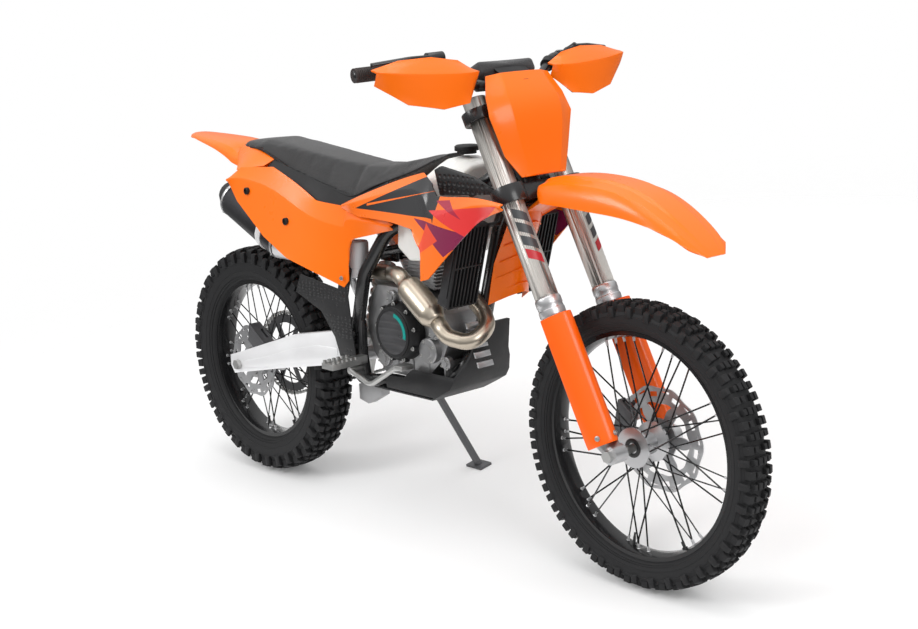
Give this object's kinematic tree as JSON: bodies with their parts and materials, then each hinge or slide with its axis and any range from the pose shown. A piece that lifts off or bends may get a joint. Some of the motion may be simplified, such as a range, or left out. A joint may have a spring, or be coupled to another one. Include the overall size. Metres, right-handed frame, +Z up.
{
  "type": "off-road motorcycle",
  "caption": "Enduro motorcycle with knobbly wire-spoked wheels, high fenders, long flat seat, open engine and looping exhaust, parked leaning on its side stand.",
  "frame": {"origin": "on the floor under the middle of the bounding box", "axes": "+X forward, +Y to the left, +Z up; the bike leans 10.4 degrees to its left on the stand"},
  "size_m": [2.172, 0.8196, 1.3029],
  "materials": {
    "bar_metal": "satin black",
    "black_metal": "satin black",
    "black_plastic": "matt black",
    "bright_steel": "bright steel",
    "cast_alloy": "cast alloy",
    "chain_steel": "oiled steel",
    "cover_black": "black textured",
    "cylinder_alloy": "bare cast",
    "dark_steel": "dark satin",
    "disc_steel": "ground steel",
    "engine_grey": "grey cast",
    "grip_rubber": "matt grip",
    "header_steel": "warm stainless",
    "hub_alloy": "polished alloy",
    "muffler_dark": "dark cap",
    "muffler_grey": "dark grey",
    "orange_plastic": "gloss orange",
    "pad_fabric": "woven cover",
    "radiator_alloy": "bare alloy",
    "red_orange_plastic": "gloss red orange",
    "satin_nickel": "satin nickel",
    "seat_cover": "gripper cloth",
    "spring_white": "white powder coat",
    "swingarm_alloy": "satin alloy",
    "tank_white": "milky translucent",
    "tyre_rubber": "matt black rubber"
  },
  "bodies": {
    "chassis": {"brake_pedal": "bright_steel", "chain": "chain_steel", "clutch_cover": "cover_black", "crankcase": "engine_grey", "cylinder": "cylinder_alloy", "cylinder_head": "engine_grey", "exhaust_header": "header_steel", "footpegs": "bright_steel", "frame": "black_metal", "frame_guards": "black_plastic", "front_sprocket": "dark_steel", "fuel_tank": "tank_white", "gear_lever": "bright_steel", "ignition_cover": "engine_grey", "linkage": "cast_alloy", "muffler": "muffler_grey", "muffler_cap": "muffler_dark", "muffler_cone": "bright_steel", "radiator_guards": "black_plastic", "radiators": "radiator_alloy", "rear_axle": "bright_steel", "rear_caliper": "cast_alloy", "rear_fender": "orange_plastic", "rear_shock": "spring_white", "seat": "seat_cover", "shrouds": "orange_plastic", "side_panels": "orange_plastic", "skid_plate": "black_plastic", "subframe": "dark_steel", "swingarm": "swingarm_alloy", "tank_cap": "black_plastic"},
    "steering": {"fork_tubes": "satin_nickel", "fork_legs": "cast_alloy", "front_axle": "bright_steel", "lower_clamp": "black_metal", "upper_clamp": "black_metal", "fork_guards": "red_orange_plastic", "handlebar": "bar_metal", "grips": "grip_rubber", "bar_pad": "pad_fabric", "controls": "dark_steel", "handguards": "orange_plastic", "number_plate": "orange_plastic", "front_fender": "orange_plastic", "front_caliper": "cast_alloy"},
    "front_wheel": {"front_tyre": "tyre_rubber", "front_rim": "black_metal", "front_hub": "hub_alloy", "front_disc": "disc_steel"},
    "rear_wheel": {"rear_tyre": "tyre_rubber", "rear_rim": "black_metal", "rear_hub": "hub_alloy", "rear_disc": "disc_steel", "rear_sprocket": "dark_steel"},
    "side_stand": {"side_stand": "bright_steel"}
  },
  "joints": [
    {"name": "steering", "type": "hinge", "parent": "chassis", "child": "steering", "pos_m": [0.69341, -0.162, 0.32025], "axis": [-0.4399, 0.1621, 0.8833], "range_deg": [-40, 40]},
    {"name": "front_wheel_spin", "type": "hinge", "parent": "steering", "child": "front_wheel", "pos_m": [0.741, -0.15779, 0.34318], "axis": [0, 0.9836, -0.1805], "continuous": true},
    {"name": "rear_wheel_spin", "type": "hinge", "parent": "chassis", "child": "rear_wheel", "pos_m": [-0.744, -0.15833, 0.34023], "axis": [0, 0.9836, -0.1805], "continuous": true},
    {"name": "side_stand_fold", "type": "hinge", "parent": "chassis", "child": "side_stand", "pos_m": [-0.178, -0.02332, 0.31138], "axis": [0, 0.9895, 0.1444], "range_deg": [0, 100]}
  ]
}
